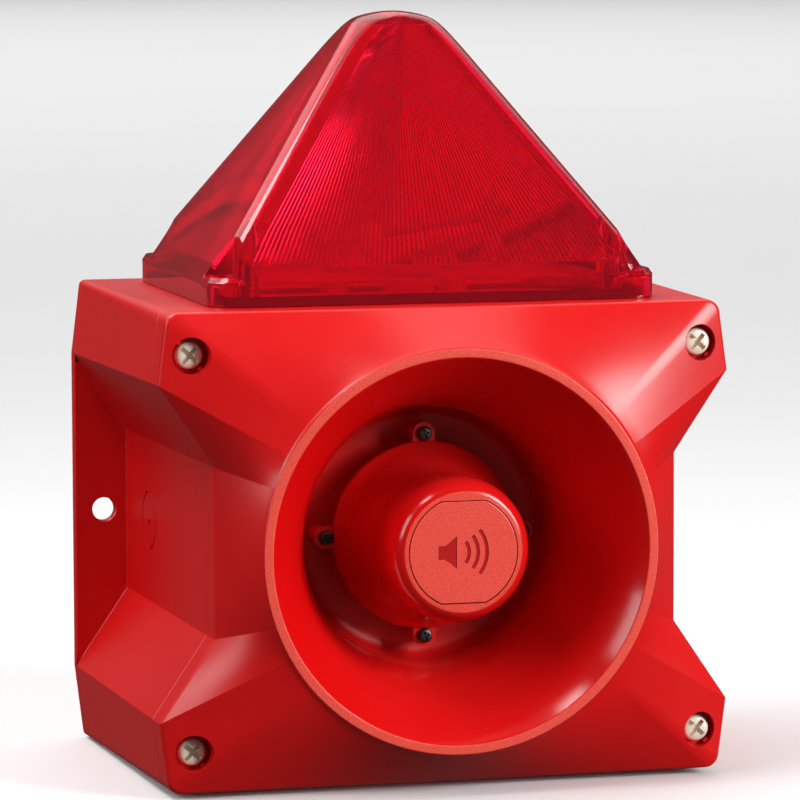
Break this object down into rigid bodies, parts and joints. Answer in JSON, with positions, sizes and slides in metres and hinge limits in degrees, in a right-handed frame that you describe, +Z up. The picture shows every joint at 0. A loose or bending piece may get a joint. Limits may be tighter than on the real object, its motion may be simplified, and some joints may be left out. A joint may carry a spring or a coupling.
{
  "type": "horn strobe",
  "caption": "Red wall-mounted alarm: deep moulded box, front cover with a round horn and central plug, and a clear red pyramid strobe lens on top.",
  "frame": {"origin": "on the wall face, on the axis of the horn", "axes": "+X to the right seen from the front, +Y into the wall, +Z up; the horn faces -Y"},
  "size_m": [0.2086, 0.1615, 0.2689],
  "materials": {
    "red_plastic": "satin, fine-grained moulded surface",
    "red_lens": "clear deep red, polished",
    "badge_plastic": "coarse moulded texture",
    "plated_steel": "bright plated",
    "black_rubber": "matt",
    "red_silicone": "matt",
    "brass": "turned",
    "black_plastic": "satin",
    "white_plastic": "gloss",
    "ferrite": "matt sintered",
    "zinc_steel": "zinc plated",
    "copper_wire": "enamelled wire",
    "polymer_film": "formed film",
    "circuit_board": "solder mask",
    "green_plastic": "satin",
    "blue_plastic": "satin",
    "tube_glass": "clear"
  },
  "bodies": {
    "base": {"rear_housing": "red_plastic", "cover_gasket": "red_silicone", "screw_receiver_top_left": "brass", "screw_receiver_top_right": "brass", "screw_receiver_bottom_left": "brass", "screw_receiver_bottom_right": "brass", "main_board": "circuit_board", "board_screw_1": "zinc_steel", "board_screw_2": "zinc_steel", "board_screw_3": "zinc_steel", "board_screw_4": "zinc_steel", "terminal_block": "green_plastic", "supply_choke": "copper_wire", "supply_capacitor_1": "blue_plastic", "supply_capacitor_2": "blue_plastic", "tone_switch_body": "red_plastic", "volume_control_body": "blue_plastic", "lens": "red_lens", "lens_gasket": "black_rubber", "lens_screw_back_left": "zinc_steel", "lens_screw_back_right": "zinc_steel", "lens_screw_front_left": "zinc_steel", "lens_screw_front_right": "zinc_steel", "strobe_plate": "white_plastic", "strobe_board": "circuit_board", "xenon_tube": "tube_glass", "tube_holder_left": "white_plastic", "tube_holder_right": "white_plastic", "trigger_coil": "white_plastic", "flash_capacitor": "black_plastic"},
    "cover": {"front_cover": "red_plastic", "horn_plug": "red_plastic", "plug_badge": "badge_plastic", "plug_screw_1": "zinc_steel", "plug_screw_2": "zinc_steel", "plug_screw_3": "zinc_steel", "plug_screw_4": "zinc_steel", "throat_tube": "red_plastic", "driver_flange": "black_plastic", "driver_screw_1": "zinc_steel", "driver_screw_2": "zinc_steel", "driver_screw_3": "zinc_steel", "driver_screw_4": "zinc_steel", "driver_can": "black_plastic", "pole_piece": "zinc_steel", "ring_magnet": "ferrite", "front_plate": "zinc_steel"},
    "sounder": {"diaphragm": "polymer_film", "voice_coil": "copper_wire"},
    "screw_top_left": {"cover_screw_top_left": "plated_steel"},
    "screw_top_right": {"cover_screw_top_right": "plated_steel"},
    "screw_bottom_left": {"cover_screw_bottom_left": "plated_steel"},
    "screw_bottom_right": {"cover_screw_bottom_right": "plated_steel"},
    "tone_slider_1": {"tone_switch_1": "white_plastic"},
    "tone_slider_2": {"tone_switch_2": "white_plastic"},
    "tone_slider_3": {"tone_switch_3": "white_plastic"},
    "tone_slider_4": {"tone_switch_4": "white_plastic"},
    "tone_slider_5": {"tone_switch_5": "white_plastic"},
    "volume_rotor": {"volume_control_rotor": "white_plastic"}
  },
  "joints": [
    {"name": "cover_lift_off", "type": "slide", "parent": "base", "child": "cover", "axis": [0, -1, 0], "range_m": [0, 0.16]},
    {"name": "diaphragm_travel", "type": "slide", "parent": "cover", "child": "sounder", "axis": [0, -1, 0], "range_m": [-0.0004, 0.0004], "stiffness_N_per_m": 6000},
    {"name": "cover_screw_turn_top_left", "type": "hinge", "parent": "cover", "child": "screw_top_left", "pos_m": [-0.0913, -0.1384, 0.0686], "axis": [0, 1, 0], "range_deg": [-90, 0]},
    {"name": "cover_screw_turn_top_right", "type": "hinge", "parent": "cover", "child": "screw_top_right", "pos_m": [0.0913, -0.1384, 0.0686], "axis": [0, 1, 0], "range_deg": [-90, 0]},
    {"name": "cover_screw_turn_bottom_left", "type": "hinge", "parent": "cover", "child": "screw_bottom_left", "pos_m": [-0.0913, -0.1384, -0.0686], "axis": [0, 1, 0], "range_deg": [-90, 0]},
    {"name": "cover_screw_turn_bottom_right", "type": "hinge", "parent": "cover", "child": "screw_bottom_right", "pos_m": [0.0913, -0.1384, -0.0686], "axis": [0, 1, 0], "range_deg": [-90, 0]},
    {"name": "tone_switch_1_slide", "type": "slide", "parent": "base", "child": "tone_slider_1", "axis": [0, 0, 1], "range_m": [0, 0.0018]},
    {"name": "tone_switch_2_slide", "type": "slide", "parent": "base", "child": "tone_slider_2", "axis": [0, 0, 1], "range_m": [0, 0.0018]},
    {"name": "tone_switch_3_slide", "type": "slide", "parent": "base", "child": "tone_slider_3", "axis": [0, 0, 1], "range_m": [0, 0.0018]},
    {"name": "tone_switch_4_slide", "type": "slide", "parent": "base", "child": "tone_slider_4", "axis": [0, 0, 1], "range_m": [0, 0.0018]},
    {"name": "tone_switch_5_slide", "type": "slide", "parent": "base", "child": "tone_slider_5", "axis": [0, 0, 1], "range_m": [0, 0.0018]},
    {"name": "volume_turn", "type": "hinge", "parent": "base", "child": "volume_rotor", "pos_m": [0.008, -0.0187, -0.004], "axis": [0, -1, 0], "range_deg": [-135, 135]}
  ]
}
